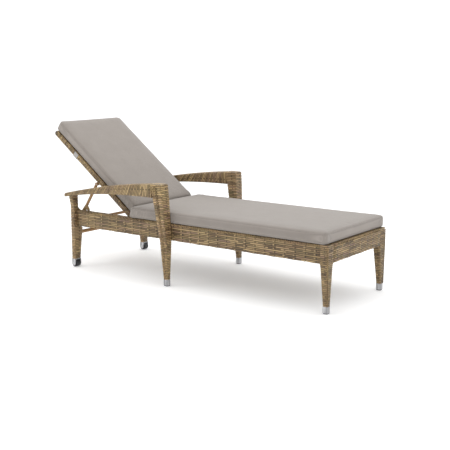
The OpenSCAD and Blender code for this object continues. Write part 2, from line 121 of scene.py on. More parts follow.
# ---------------------------------------------------------------- side rails
# A side rail is two aluminium tubes one over the other, woven over with flat half-round
# synthetic strand: ten rows along each face, held down by upright ribs every 61 mm.
def laid_mesh(name, points, run, row, rib=None, weld=1e-5):
    """A grid laid over points[i, j]; run and row are the strand coordinates kept as its UVs."""
    columns, lines = points.shape[:2]
    deselect()
    bpy.ops.mesh.primitive_grid_add(x_subdivisions=columns - 1, y_subdivisions=lines - 1, size=1)
    piece = bpy.context.object
    piece.name = piece.data.name = name
    mesh = piece.data
    flat = np.empty(len(mesh.vertices) * 3)
    mesh.vertices.foreach_get("co", flat)
    flat = flat.reshape(-1, 3) + 0.5
    i = np.rint(flat[:, 0] * (columns - 1)).astype(int)
    j = np.rint(flat[:, 1] * (lines - 1)).astype(int)
    mesh.vertices.foreach_set("co", points[i, j].ravel())
    corner = np.empty(len(mesh.loops), dtype=np.int32)
    mesh.loops.foreach_get("vertex_index", corner)
    uv = np.stack([run[i[corner], j[corner]], row[i[corner], j[corner]]], 1)
    mesh.uv_layers[0].name = "strand"
    mesh.uv_layers[0].data.foreach_set("uv", uv.ravel())
    if rib is not None:
        mesh.attributes.new("rib", "FLOAT", "POINT").data.foreach_set("value", rib[i, j].ravel())
    bpy.ops.object.mode_set(mode="EDIT")
    bpy.ops.mesh.select_all(action="SELECT")
    bpy.ops.mesh.remove_doubles(threshold=weld)
    bpy.ops.mesh.delete_loose(use_verts=True, use_edges=True, use_faces=False)
    bpy.ops.mesh.select_all(action="DESELECT")
    bpy.ops.mesh.select_non_manifold(extend=False)
    bpy.ops.mesh.fill_holes(sides=0)
    bpy.ops.mesh.select_all(action="SELECT")
    bpy.ops.mesh.normals_make_consistent(inside=False)
    bpy.ops.object.mode_set(mode="OBJECT")
    bpy.ops.object.shade_smooth()
    return piece


def ring_at(u, width, height, radius):
    """Points and outward normals round a rounded rectangle; u runs 0 to 8, a side or a corner a unit."""
    turn = np.floor(u) % 8
    part = u - np.floor(u)
    half_w, half_h = width / 2 - radius, height / 2 - radius
    corner = (turn % 2 == 1)
    quarter = np.floor(turn / 2)
    angle = np.radians(90) * (quarter + np.where(corner, part, 0.0))
    nx, ny = np.cos(angle), np.sin(angle)
    slide = 1 - 2 * part
    which = quarter.astype(int)
    level = 0 * part
    side_x = np.choose(which, [half_w + level, half_w * slide, -half_w + level, -half_w * slide])
    side_y = np.choose(which, [-half_h * slide, half_h + level, half_h * slide, -half_h + level])
    hub_x = np.choose(which, [half_w, -half_w, -half_w, half_w]) + level
    hub_y = np.choose(which, [half_h, half_h, -half_h, -half_h]) + level
    x = np.where(corner, hub_x, side_x) + radius * nx
    y = np.where(corner, hub_y, side_y) + radius * ny
    return x, y, nx, ny


strand_depth = 0.0026
row_cuts = np.array([0.0, 0.17, 0.5, 0.83])


def strand_profile(across):
    """Height of a flat half-round strand across its width, 0 on its crown."""
    return strand_depth * (np.sqrt(np.clip(1 - (np.abs(2 * across - 1) * 0.985) ** 2.6, 0, 1)) - 1)


def woven_height(row, run, rib_half, alternate, dip=0.0022):
    """Height of a weave whose ribs stand at whole values of run, and its rib mask."""
    across = row - np.floor(row)
    nearest = np.rint(run)
    away = (run - nearest) / rib_half
    near = np.exp(-(away / 2.2) ** 2)
    showing = np.ones_like(run) if not alternate else ((np.floor(row + 1e-6) + nearest) % 2 == 0) * 1.0
    strand = strand_profile(across) + near * np.where(showing > 0, -dip, 0.0009)
    bar = 0.0006 + 0.0016 * (np.sqrt(np.clip(1 - away ** 2, 0, 1)) - 1)
    bar = np.where((np.abs(away) < 1.01) & (showing > 0), bar, -1.0)
    if alternate:
        bar = np.where(across < 0.02, strand - 0.0003, bar)
    return np.maximum(strand, bar), (bar > strand) * 1.0


def strand_material(name, tones, rib_tones, strand_length=2.6, shade=0.10, groove_shade_start=0.30):
    """Hand-woven synthetic strand: each length has its own tone and fine grain, and painted shade darkens
    each strand towards its edges, in the grooves between strands.
    """
    material, tree, shader = new_material(name, tones[0], 0.5)
    nodes, links = tree.nodes, tree.links
    shader.inputs["Specular IOR Level"].default_value = 0.42

    def node(kind, **settings):
        made = nodes.new(kind)
        for key, value in settings.items():
            setattr(made, key, value)
        return made

    def maths(operation, first, second=None, third=None):
        made = node("ShaderNodeMath", operation=operation)
        for socket, value in zip(made.inputs, (first, second, third)):
            if value is None:
                continue
            if isinstance(value, (int, float)):
                socket.default_value = value
            else:
                links.new(value, socket)
        return made.outputs[0]

    uv = node("ShaderNodeUVMap", uv_map="strand")
    split = node("ShaderNodeSeparateXYZ")
    links.new(uv.outputs["UV"], split.inputs[0])
    run, row = split.outputs[0], split.outputs[1]
    row_id = maths("FLOOR", row)
    across = maths("FRACT", row)
    stagger = maths("MULTIPLY", row_id, 0.618)
    length_id = maths("FLOOR", maths("ADD", maths("DIVIDE", run, strand_length), stagger))

    def tone_of(first, second, colours):
        join = node("ShaderNodeCombineXYZ")
        links.new(first, join.inputs[0])
        links.new(second, join.inputs[1])
        noise = node("ShaderNodeTexWhiteNoise", noise_dimensions="2D")
        links.new(join.outputs[0], noise.inputs["Vector"])
        ramp = node("ShaderNodeValToRGB")
        ramp.color_ramp.interpolation = "LINEAR"
        ramp.color_ramp.elements[0].color = (*colours[0], 1)
        ramp.color_ramp.elements[1].color = (*colours[-1], 1)
        for k, colour in enumerate(colours[1:-1]):
            ramp.color_ramp.elements.new((k + 1) / (len(colours) - 1)).color = (*colour, 1)
        links.new(noise.outputs["Value"], ramp.inputs[0])
        return ramp.outputs[0]

    def mix(blend, factor, first, second):
        made = node("ShaderNodeMix", data_type="RGBA", blend_type=blend)
        for socket, value in ((made.inputs[0], factor), (made.inputs[6], first), (made.inputs[7], second)):
            if isinstance(value, (int, float)):
                socket.default_value = value
            elif isinstance(value, tuple):
                socket.default_value = (*value, 1)
            else:
                links.new(value, socket)
        return made.outputs[2]

    strand_tone = tone_of(row_id, length_id, tones)
    rib_tone = tone_of(maths("ROUND", run), maths("FLOOR", maths("MULTIPLY", row, 0.21)), rib_tones)
    rib_mask = node("ShaderNodeAttribute", attribute_name="rib")
    on_rib = maths("GREATER_THAN", rib_mask.outputs["Fac"], 0.5)
    tone = mix("MIX", on_rib, strand_tone, rib_tone)

    grain_at = node("ShaderNodeCombineXYZ")
    links.new(maths("MULTIPLY", run, 2.0), grain_at.inputs[0])
    links.new(maths("MULTIPLY", row, 9.0), grain_at.inputs[1])
    grain = node("ShaderNodeTexNoise")
    grain.inputs["Scale"].default_value = 1.0
    grain.inputs["Detail"].default_value = 4.0
    links.new(grain_at.outputs[0], grain.inputs["Vector"])
    grain_tone = node("ShaderNodeMapRange")
    grain_tone.inputs["From Min"].default_value = 0.3
    grain_tone.inputs["From Max"].default_value = 0.7
    grain_tone.inputs["To Min"].default_value = 0.64
    grain_tone.inputs["To Max"].default_value = 1.34
    links.new(grain.outputs["Fac"], grain_tone.inputs["Value"])
    tone = mix("MULTIPLY", 1.0, tone, grain_tone.outputs[0])

    place = node("ShaderNodeTexCoord")
    patches = node("ShaderNodeTexNoise")
    patches.inputs["Scale"].default_value = 7.0
    patches.inputs["Detail"].default_value = 2.0
    links.new(place.outputs["Object"], patches.inputs["Vector"])
    patch_tone = node("ShaderNodeValToRGB")
    patch_tone.color_ramp.elements[0].position = 0.35
    patch_tone.color_ramp.elements[0].color = (0.86, 0.80, 0.78, 1)
    patch_tone.color_ramp.elements[1].position = 0.65
    patch_tone.color_ramp.elements[1].color = (1.12, 1.10, 1.0, 1)
    links.new(patches.outputs["Fac"], patch_tone.inputs[0])
    tone = mix("MULTIPLY", 1.0, tone, patch_tone.outputs[0])

    # Painted shade: the colour darkens towards both edges of each strand, standing in for the shade in the
    # grooves between strands; ribs keep most of their tone.
    edge = maths("ABSOLUTE", maths("SUBTRACT", maths("MULTIPLY", across, 2.0), 1.0))
    joint = node("ShaderNodeMapRange")
    joint.inputs["From Min"].default_value = groove_shade_start
    joint.inputs["From Max"].default_value = 1.0
    joint.inputs["To Min"].default_value = 1.0
    joint.inputs["To Max"].default_value = shade
    links.new(edge, joint.inputs["Value"])
    painted_groove_shade = maths("MAXIMUM", joint.outputs[0], maths("MULTIPLY", on_rib, 0.8))
    tone = mix("MULTIPLY", 1.0, tone, painted_groove_shade)

    # Painted shadow: on every other row a short dark dash just past each rib, where the strand goes under it.
    past_rib = maths("SUBTRACT", run, maths("ROUND", run))
    tuck_shadow_mask = maths("COMPARE", past_rib, 0.13, 0.06)
    odd_row = maths("MODULO", row_id, 2.0)
    painted_tuck_shadow = maths("SUBTRACT", 1.0, maths("MULTIPLY", maths("MULTIPLY", tuck_shadow_mask, odd_row), 0.6))
    tone = mix("MULTIPLY", 1.0, tone, painted_tuck_shadow)
    links.new(tone, shader.inputs["Base Color"])

    gloss = node("ShaderNodeMapRange")
    gloss.inputs["To Min"].default_value = 0.62
    gloss.inputs["To Max"].default_value = 0.40
    links.new(grain.outputs["Fac"], gloss.inputs["Value"])
    links.new(gloss.outputs[0], shader.inputs["Roughness"])
    bump = node("ShaderNodeBump")
    bump.inputs["Strength"].default_value = 0.35
    bump.inputs["Distance"].default_value = 0.0006
    links.new(grain.outputs["Fac"], bump.inputs["Height"])
    links.new(bump.outputs[0], shader.inputs["Normal"])
    return material


strand_tones = [(0.115, 0.076, 0.038), (0.20, 0.136, 0.068), (0.32, 0.224, 0.111), (0.16, 0.122, 0.057),
                (0.43, 0.310, 0.157), (0.23, 0.148, 0.100)]
rib_tones = [(0.30, 0.215, 0.108), (0.37, 0.27, 0.140), (0.25, 0.18, 0.090)]
woven = strand_material("woven_strand", strand_tones, rib_tones, strand_length=1.3)
# Painted light: the legs that rise above the rail get a lighter copy of the same strand tones, so they look
# more brightly lit.
lit_copy_tones = [tuple(1.35 * c for c in tone) for tone in strand_tones]
woven_lit_copy = strand_material("pale_woven_strand", lit_copy_tones, rib_tones, strand_length=1.3)

strand_width = 0.0098
rib_pitch = 0.061
rib_cuts = np.array([-0.062, -0.032, 0.0, 0.032, 0.062, 0.13, 0.5, 0.87])


def finish_woven(piece, body, *nodes, material=None):
    piece.data.materials.clear()
    piece.data.materials.append(material or woven)
    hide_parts(*nodes)
    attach(piece, body)


def woven_rail(name, node, along, across_axis, reach):
    """A rail whose strands run along axis `along`, ribbed every 61 mm."""
    low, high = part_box(node)
    size = high - low
    middle = (low + high) / 2
    length = size[along] + 2 * reach
    count = max(2, round(length / rib_pitch))
    run = np.sort((np.arange(count)[:, None] + 0.5 + rib_cuts[None, :]).ravel())
    run = np.concatenate([[0.0], run[(run > 0.01) & (run < count - 0.01)], [float(count)]])
    tall, thick = size[2] - 0.0012, size[across_axis] - 0.0012
    face_rows = round(size[2] / strand_width)
    edge_rows = round(size[across_axis] / strand_width)
    radius = 0.005
    arc = radius * math.pi / 2
    sides = [(tall, face_rows), (thick, edge_rows), (tall, face_rows), (thick, edge_rows)]
    u, row, made = [], [], 0
    for k, (side, rows) in enumerate(sides):
        steps = (np.arange(rows)[:, None] + row_cuts[None, :]).ravel() / rows
        straight = side - 2 * radius
        walked = steps * (straight + arc) - arc / 2
        past_side = 2 * k + 1 + (walked - straight) / arc
        on_side = np.where(walked > straight, past_side, 2 * k + walked / straight)
        u.append(np.where(walked < 0, 2 * k + walked / arc, on_side))
        row.append(made + steps * rows)
        made += rows
    u = np.append(np.concatenate(u), u[0][0] + 8)
    row = np.append(np.concatenate(row), made)
    run_grid, row_grid = np.meshgrid(run, row, indexing="ij")
    _, u_grid = np.meshgrid(run, u, indexing="ij")
    height, rib = woven_height(row_grid, run_grid - 0.5, 0.068, True)
    wave = 0.0005 * np.sin(math.pi * (np.floor(row_grid) + run_grid * 2))
    ly, lz, ny, nz = ring_at(u_grid % 8, thick, tall, radius)
    lift = height + wave
    points = np.zeros((*run_grid.shape, 3))
    points[..., along] = middle[along] - length / 2 + run_grid * length / count
    points[..., across_axis] = middle[across_axis] + ly + ny * lift
    points[..., 2] = middle[2] + lz + nz * lift
    return laid_mesh(name, points, run_grid - 0.5, row_grid, rib)


for side in ("left", "right"):
    rail = woven_rail("woven_side_rail_" + side, "side_rail_" + side, 0, 1, 0.004)
    finish_woven(rail, "frame", "side_rail_" + side)

front = woven_rail("woven_front_rail", "front_rail", 1, 0, 0.004)
finish_woven(front, "frame", "front_rail")


# ---------------------------------------------------------------- legs
# Each leg is a square tube wrapped round and round with the same strand; the wraps
# interlock over a rib at each corner, and close over the top in smaller turns.
ring_u = np.array([0.0, 0.25, 0.5, 0.75, 1.0, 1.5])
ring_u = np.concatenate([2 * k + ring_u for k in range(4)] + [[8.0]])


def wrapped(name, origin, side_axis, up_axis, width, height, rows, radius, corner_ribs,
            rib_half=0.28, turns=0.0):
    """Strand wrapped round a bar: rows[j] counts the wraps along it, the other values are per line."""
    u_grid, row_grid = np.meshgrid(ring_u, rows, indexing="ij")
    run = (u_grid - 1.5) / 2
    w, h = np.meshgrid(ring_u, width, indexing="ij")[1], np.meshgrid(ring_u, height, indexing="ij")[1]
    r = np.minimum(radius, np.minimum(w, h) * 0.45)
    x, y, nx, ny = ring_at(u_grid % 8, w, h, r)
    if corner_ribs:
        lift, rib = woven_height(row_grid, run, rib_half / 2, True)
    else:
        lift, rib = strand_profile(row_grid - np.floor(row_grid)), np.zeros_like(run)
    full = np.clip(np.minimum(w, h) / 0.012, 0, 1)
    lift = (lift - 0.0002) * full
    points = (origin[None, :, :] + (x + nx * lift)[..., None] * side_axis[None, :, :]
              + (y + ny * lift)[..., None] * up_axis[None, :, :])
    return laid_mesh(name, points, run * 2, row_grid + turns * u_grid / 8, rib)


def wrap_lines(length, pitch):
    """Row positions for wraps over a length, four cuts a wrap, with the last joint closed."""
    count = max(2, round(length / pitch))
    lines = (np.arange(count)[:, None] + row_cuts[None, :]).ravel()
    return np.append(lines, count), count


def woven_leg(name, stations):
    """A leg from stations [z, x0, x1, y0, y1] given from the foot up; its top closes in small turns."""
    stations = np.array(stations)
    lines, count = wrap_lines(stations[-1, 0] - stations[0, 0], 0.0095)
    z = stations[0, 0] + lines / count * (stations[-1, 0] - stations[0, 0])
    x0, x1, y0, y1 = (np.interp(z, stations[:, 0], stations[:, k]) for k in range(1, 5))
    closing = np.arange(1, 11) / 10
    shrink = 1 - closing
    z = np.concatenate([[z[0]], z, np.full(10, z[-1])])
    rows = np.concatenate([[lines[0] - 0.1], lines, count + closing * 2.5])
    width = np.concatenate([[1e-6], x1 - x0, (x1 - x0)[-1] * shrink + 1e-6])
    height = np.concatenate([[1e-6], y1 - y0, (y1 - y0)[-1] * shrink + 1e-6])
    cx = np.concatenate([[(x0 + x1)[0] / 2], (x0 + x1) / 2, np.full(10, (x0 + x1)[-1] / 2)])
    cy = np.concatenate([[(y0 + y1)[0] / 2], (y0 + y1) / 2, np.full(10, (y0 + y1)[-1] / 2)])
    origin = np.stack([cx, cy, z], 1)
    flat_x = np.tile([1.0, 0, 0], (len(z), 1))
    flat_y = np.tile([0, 1.0, 0], (len(z), 1))
    return wrapped(name, origin, flat_x, flat_y, width, height, rows, 0.007, True)


def mirror_stations(stations, side):
    if side == "left":
        return stations
    return [[z, x0, x1, -y1, -y0] for z, x0, x1, y0, y1 in stations]


rail_low, rail_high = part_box("side_rail_left")
front_low, front_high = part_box("front_leg_left")
cap_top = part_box("foot_cap_front_left")[1].z
foot_low, foot_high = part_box("foot_cap_front_left")
for side in ("left", "right"):
    stations = [[cap_top - 0.001, foot_low.x, foot_high.x, foot_low.y, foot_high.y],
                [rail_low.z - 0.012, front_low.x + 0.004, front_high.x, front_low.y + 0.006, front_high.y],
                [rail_low.z, front_low.x, front_high.x, front_low.y, front_high.y],
                [rail_high.z, front_low.x, front_high.x, front_low.y, front_high.y]]
    leg = woven_leg("woven_front_leg_" + side, mirror_stations(stations, side))
    finish_woven(leg, "frame", "front_leg_" + side)

mid_low, mid_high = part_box("mid_leg_left")
mid_foot_low, mid_foot_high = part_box("foot_cap_mid_left")
arm_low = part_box("armrest_left")[0]
post_x = mid_foot_high.x
for side in ("left", "right"):
    stations = [[cap_top - 0.001, mid_foot_low.x, post_x, mid_foot_low.y, mid_foot_high.y],
                [rail_low.z, post_x - 0.050, post_x - 0.002, rail_high.y, mid_foot_high.y + 0.005],
                [rail_high.z, post_x - 0.062, post_x - 0.007, rail_high.y, mid_foot_high.y + 0.014],
                [mid_high.z - 0.078, post_x - 0.084, post_x - 0.016, rail_high.y + 0.001, mid_high.y - 0.002],
                [mid_high.z - 0.006, post_x - 0.099, post_x - 0.022, mid_high.y - 0.070, mid_high.y],
                [mid_high.z, post_x - 0.099, post_x - 0.026, mid_high.y - 0.067, mid_high.y - 0.003]]
    leg = woven_leg("woven_mid_leg_" + side, mirror_stations(stations, side))
    finish_woven(leg, "frame", "mid_leg_" + side, material=woven_lit_copy)

rear_low, rear_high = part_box("rear_leg_left")
fork_low, fork_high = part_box("wheel_fork_left")
for side in ("left", "right"):
    top_inner = mid_high.y - 0.024 - 0.070 + 0.003
    stations = [[fork_high.z, rear_low.x, rear_high.x, fork_low.y, fork_high.y],
                [rail_low.z - 0.014, rear_low.x, rear_high.x, rail_low.y - 0.014, fork_high.y],
                [rail_low.z, rear_low.x, rear_high.x, rail_low.y, fork_high.y],
                [rail_high.z, rear_low.x, rear_high.x, rail_low.y, fork_high.y],
                [rail_high.z + 0.016, rear_low.x, rear_high.x, top_inner, fork_high.y],
                [rail_high.z + 0.030, rear_low.x, rear_high.x, top_inner, fork_high.y],
                [rail_high.z + 0.092, rear_low.x, rear_high.x, top_inner, fork_high.y + 0.012]]
    leg = woven_leg("woven_rear_leg_" + side, mirror_stations(stations, side))
    for vertex, mark in zip(leg.data.vertices, leg.data.attributes["rib"].data):
        if rail_low.z - 0.072 < vertex.co.z < rail_low.z - 0.007:
            mark.value = 1.0
    finish_woven(leg, "frame", "rear_leg_" + side, material=woven_lit_copy)


# ---------------------------------------------------------------- armrests
# An armrest is a bent tube padded out with strand wrapped crosswise, wrap against wrap;
# it swells from a blunt tip over the rear leg to its deep end against the middle post.
def bend(points, t):
    a, b, c = (np.array(p) for p in points)
    t = np.asarray(t)[:, None]
    return (1 - t) ** 2 * a + 2 * t * (1 - t) * b + t ** 2 * c


arm_tip = arm_low.x
arm_front = post_x - 0.090
arm_run = arm_front - arm_tip
arm_top = mid_high.z
arm_root = arm_top - 0.078
tip_top = arm_top - 0.116
top_line = [(arm_tip, tip_top), (arm_tip + 0.53 * arm_run, arm_top - 0.026), (arm_front, arm_top - 0.001)]
low_line = [(arm_tip, tip_top - 0.024), (arm_tip + 0.42 * arm_run, arm_root), (arm_front, arm_root)]
arm_width = 0.070
arm_turn = math.atan(0.024 / arm_run)


def woven_arm(side):
    lines, count = wrap_lines(arm_run, 0.0105)
    t = lines / count
    upper, lower = bend(top_line, t), bend(low_line, t)
    centre = (upper + lower) / 2
    tall = np.hypot(*(upper - lower).T)
    lean = np.arctan2(upper[:, 0] - lower[:, 0], upper[:, 1] - lower[:, 1])
    round_tip = np.sqrt(np.clip(1 - (1 - np.clip((centre[:, 0] - arm_tip) / 0.009, 0, 1)) ** 2, 0, 1))
    wide = np.full(len(t), arm_width - 0.0008) * (0.8 + 0.2 * round_tip)
    tall = (tall - 0.0008) * (0.35 + 0.65 * round_tip)
    centre = np.vstack([centre[:1] - [0.0005, 0], centre, centre[-1:] + [0.001, 0]])
    tall = np.concatenate([[1e-6], tall, [1e-6]])
    wide = np.concatenate([[1e-6], wide, [1e-6]])
    lean = np.concatenate([lean[:1], lean, lean[-1:]])
    rows = np.concatenate([[-0.2], lines, [count + 0.2]])
    origin = np.stack([centre[:, 0], np.full(len(rows), mid_high.y - arm_width / 2), centre[:, 1]], 1)
    across = np.tile([0.0, 1.0, 0.0], (len(rows), 1))
    upward = np.stack([np.sin(lean), 0 * lean, np.cos(lean)], 1)
    pivot = np.array([arm_front, mid_high.y, 0.0])
    turn = np.array(Matrix.Rotation(arm_turn, 3, "Z"))
    origin = (origin - pivot) @ turn.T + pivot
    across, upward = across @ turn.T, upward @ turn.T
    if side == "right":
        origin, across, upward = (a * np.array([1, -1, 1]) for a in (origin, across, upward))
    return wrapped("woven_armrest_" + side, origin, across, upward, wide, tall, rows, 0.0075, False)


arm_tones = [(0.15, 0.102, 0.052), (0.38, 0.268, 0.132), (0.24, 0.178, 0.088), (0.58, 0.425, 0.215),
             (0.32, 0.212, 0.138)]
# The arm's wraps get deeper, wider painted shade in the grooves between them.
woven_arm_strand = strand_material("wrapped_strand", arm_tones, rib_tones, strand_length=2.0,
                                   shade=0.05, groove_shade_start=0.12)
for side in ("left", "right"):
    finish_woven(woven_arm(side), "frame", "armrest_" + side, material=woven_arm_strand)


# ---------------------------------------------------------------- braided edges
# Two strands are plaited over edges where the weave changes direction: along the
# tops of the rails, down the front legs and the posts, and where an arm runs into its post.
def braid(name, path, outward, width, pitch, radius):
    """Two strands that cross over and under each other along a path on a surface."""
    path, outward = np.array(path, dtype=float), np.array(outward, dtype=float)
    walked = np.concatenate([[0.0], np.cumsum(np.linalg.norm(np.diff(path, axis=0), axis=1))])
    at = np.linspace(0.0, walked[-1], max(8, round(walked[-1] / pitch * 9)) + 1)
    middle = np.stack([np.interp(at, walked, path[:, k]) for k in range(3)], 1)
    ahead = np.gradient(middle, axis=0)
    ahead /= np.linalg.norm(ahead, axis=1, keepdims=True)
    out = np.tile(outward / np.linalg.norm(outward), (len(at), 1))
    aside = np.cross(ahead, out)
    ring = np.radians(np.arange(0, 361, 60))
    strands = []
    for k in (0, 1):
        phase = 2 * math.pi * at / pitch + math.pi * k
        sway = (width / 2 * np.sin(phase))[:, None]
        lift = (radius * 0.8 * np.cos(phase))[:, None]
        centre = middle + aside * sway + out * lift
        points = centre[:, None, :] + radius * (np.cos(ring)[None, :, None] * out[:, None, :]
                                                + np.sin(ring)[None, :, None] * aside[:, None, :])
        run, row = np.meshgrid(at / rib_pitch, ring / ring[-1] + 0.5 + k, indexing="ij")
        strands.append(laid_mesh(name, points, run, row))
    deselect()
    for strand in strands:
        strand.select_set(True)
    bpy.context.view_layer.objects.active = strands[0]
    bpy.ops.object.join()
    plait = strands[0]
    plait.data.materials.clear()
    plait.data.materials.append(woven)
    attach(plait, "frame")
    return plait


edge_drop = 0.0065
edge_z = rail_high.z - edge_drop
braid("front_rail_border", [(foot_end, -front_low.y, edge_z), (foot_end, front_low.y, edge_z)],
      (1, 0, 0), 0.010, 0.030, 0.0022)
for side, sign in (("left", 1), ("right", -1)):
    braid("side_rail_border_" + side,
          [(rear_high.x, sign * rail_high.y, edge_z), (front_low.x, sign * rail_high.y, edge_z)],
          (0, sign, 0), 0.008, 0.026, 0.0018)
    post_face = [(z, (x0 + x1) / 2, y1) for z, x0, x1, y0, y1 in
                 ([cap_top, mid_foot_low.x, post_x, 0, mid_foot_high.y],
                  [rail_low.z, post_x - 0.050, post_x - 0.002, 0, mid_foot_high.y + 0.005],
                  [rail_high.z, post_x - 0.062, post_x - 0.007, 0, mid_foot_high.y + 0.014],
                  [arm_root, post_x - 0.084, post_x - 0.016, 0, mid_high.y - 0.002],
                  [arm_top - 0.012, post_x - 0.097, post_x - 0.022, 0, mid_high.y])]
    braid("post_plait_" + side, [(x, sign * y, z) for z, x, y in post_face],
          (0, sign, 0), 0.013, 0.024, 0.0019)
    for k, back_by in enumerate((0.093, 0.074)):
        braid("arm_joint_plait_%d_%s" % (k, side),
              [(post_x - back_by, sign * (mid_high.y - 0.0015), arm_root + 0.004),
               (post_x - back_by, sign * mid_high.y, arm_top - 0.010)], (0, sign, 0), 0.010, 0.020, 0.0018)
    braid("front_leg_edge_" + side,
          [(foot_high.x - 0.001, sign * (foot_high.y - 0.001), cap_top),
           (foot_end - 0.001, sign * (front_high.y - 0.001), rail_low.z),
           (foot_end - 0.001, sign * (front_high.y - 0.001), rail_high.z - 0.010)],
          (1, sign, 0), 0.008, 0.020, 0.0018)


# ---------------------------------------------------------------- back frame
# The back is a flat frame of wrapped tube with a round top edge, woven across with the
# same ribbed weave as the rails; it is drawn level and then laid up to its angle.
raised_angle = 37.1
back_tilt = math.radians(raised_angle)
back_thick = 0.033
back_middle = back_thick / 2
back_length = 0.791
back_half = rail_low.y - 0.008
bar_inset = 0.028
sheet_inset = 0.029
bottom_rail_x = -0.036
hinge_x = (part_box("hinge_plate_left")[0].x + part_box("hinge_plate_left")[1].x) / 2
hinge_z = rail_high.z - back_middle
lay_up = Matrix.Translation((hinge_x, 0, hinge_z)) @ Matrix.Rotation(back_tilt, 4, "Y")


def lay_on_back(piece):
    piece.data.transform(lay_up)
    piece.data.update()


def wrapped_bar(name, start, end, side_axis, up_axis, width, height, radius,
                pitch=0.0095, ribs=True, body_end=0.004):
    """A straight bar wrapped from start to end, with softly closed ends."""
    start, end = np.array(start), np.array(end)
    length = np.linalg.norm(end - start)
    lines, count = wrap_lines(length, pitch)
    walked = lines / count * length
    near_end = np.minimum(walked, length - walked)
    soften = np.sqrt(np.clip(1 - (1 - np.clip(near_end / body_end, 0, 1)) ** 2, 0, 1))
    rows = np.concatenate([[-0.2], lines, [count + 0.2]])
    share = np.concatenate([[0], walked, [length]]) / length
    place = start[None, :] + share[:, None] * (end - start)[None, :]
    width = np.concatenate([[1e-6], width * (0.75 + 0.25 * soften), [1e-6]])
    height = np.concatenate([[1e-6], height * (0.6 + 0.4 * soften), [1e-6]])
    sides = np.tile(side_axis, (len(rows), 1))
    ups = np.tile(up_axis, (len(rows), 1))
    return wrapped(name, place, sides, ups, width, height, rows, radius, ribs)


for side, sign in (("left", 1), ("right", -1)):
    y = sign * (back_half - 0.015)
    bar = wrapped_bar("woven_back_side_" + side, (back_middle, y, 0), (-back_length + 0.012, y, 0),
                      (0.0, 1.0, 0.0), (0.0, 0.0, 1.0), 0.030, back_thick - 0.0006, 0.007,
                      body_end=back_middle)
    lay_on_back(bar)
    finish_woven(bar, "backrest", "back_side_" + side)

top_x = -back_length + back_middle
top_bar = wrapped_bar("woven_back_top_rail", (top_x, -back_half, 0), (top_x, back_half, 0),
                      (1.0, 0.0, 0.0), (0.0, 0.0, 1.0), back_thick - 0.0006, back_thick - 0.0006,
                      0.015, ribs=False)
lay_on_back(top_bar)
finish_woven(top_bar, "backrest", "back_top_rail")
low_bar = wrapped_bar("woven_back_bottom_rail", (bottom_rail_x, -back_half + bar_inset, 0),
                      (bottom_rail_x, back_half - bar_inset, 0), (1.0, 0.0, 0.0), (0.0, 0.0, 1.0),
                      0.028, back_thick - 0.0006, 0.007, ribs=False)
lay_on_back(low_bar)
finish_woven(low_bar, "backrest", "back_bottom_rail")


def woven_sheet(name, x0, x1, y0, y1, top, thick):
    """A flat woven sheet: rows run along x, ribs cross them, and both faces show the weave."""
    count = max(2, round((x1 - x0) / rib_pitch))
    run = np.sort((np.arange(count)[:, None] + 0.5 + rib_cuts[None, :]).ravel())
    run = np.concatenate([[0.0], run, [float(count)]])
    rows = max(2, round((y1 - y0) / strand_width))
    row = np.append((np.arange(rows)[:, None] + row_cuts[None, :]).ravel(), rows)
    row = np.concatenate([row, rows + row[1:]])
    run_grid, row_grid = np.meshgrid(run, row, indexing="ij")
    height, rib = woven_height(row_grid, run_grid - 0.5, 0.068, False)
    on_top = row_grid < rows
    across = np.where(on_top, row_grid, 2 * rows - row_grid) / rows
    points = np.zeros((*run_grid.shape, 3))
    points[..., 0] = x0 + run_grid * (x1 - x0) / count
    points[..., 1] = y0 + across * (y1 - y0)
    points[..., 2] = np.where(on_top, top + height - 0.0008, top - thick - height + 0.0008)
    return laid_mesh(name, points, run_grid - 0.5, row_grid, rib)


panel = woven_sheet("woven_back_panel", -back_length + back_thick - 0.002, -0.048,
                    -back_half + sheet_inset, back_half - sheet_inset, back_middle, 0.006)
lay_on_back(panel)
finish_woven(panel, "backrest", "back_panel")


# ---------------------------------------------------------------- seat deck
# The deck under the seat cushion is the same weave stretched over cross slats.
deck_low, deck_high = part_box("seat_deck")
deck = woven_sheet("woven_seat_deck", deck_low.x, deck_high.x, deck_low.y - 0.001,
                   deck_high.y + 0.001, deck_high.z, 0.006)
finish_woven(deck, "frame", "seat_deck")
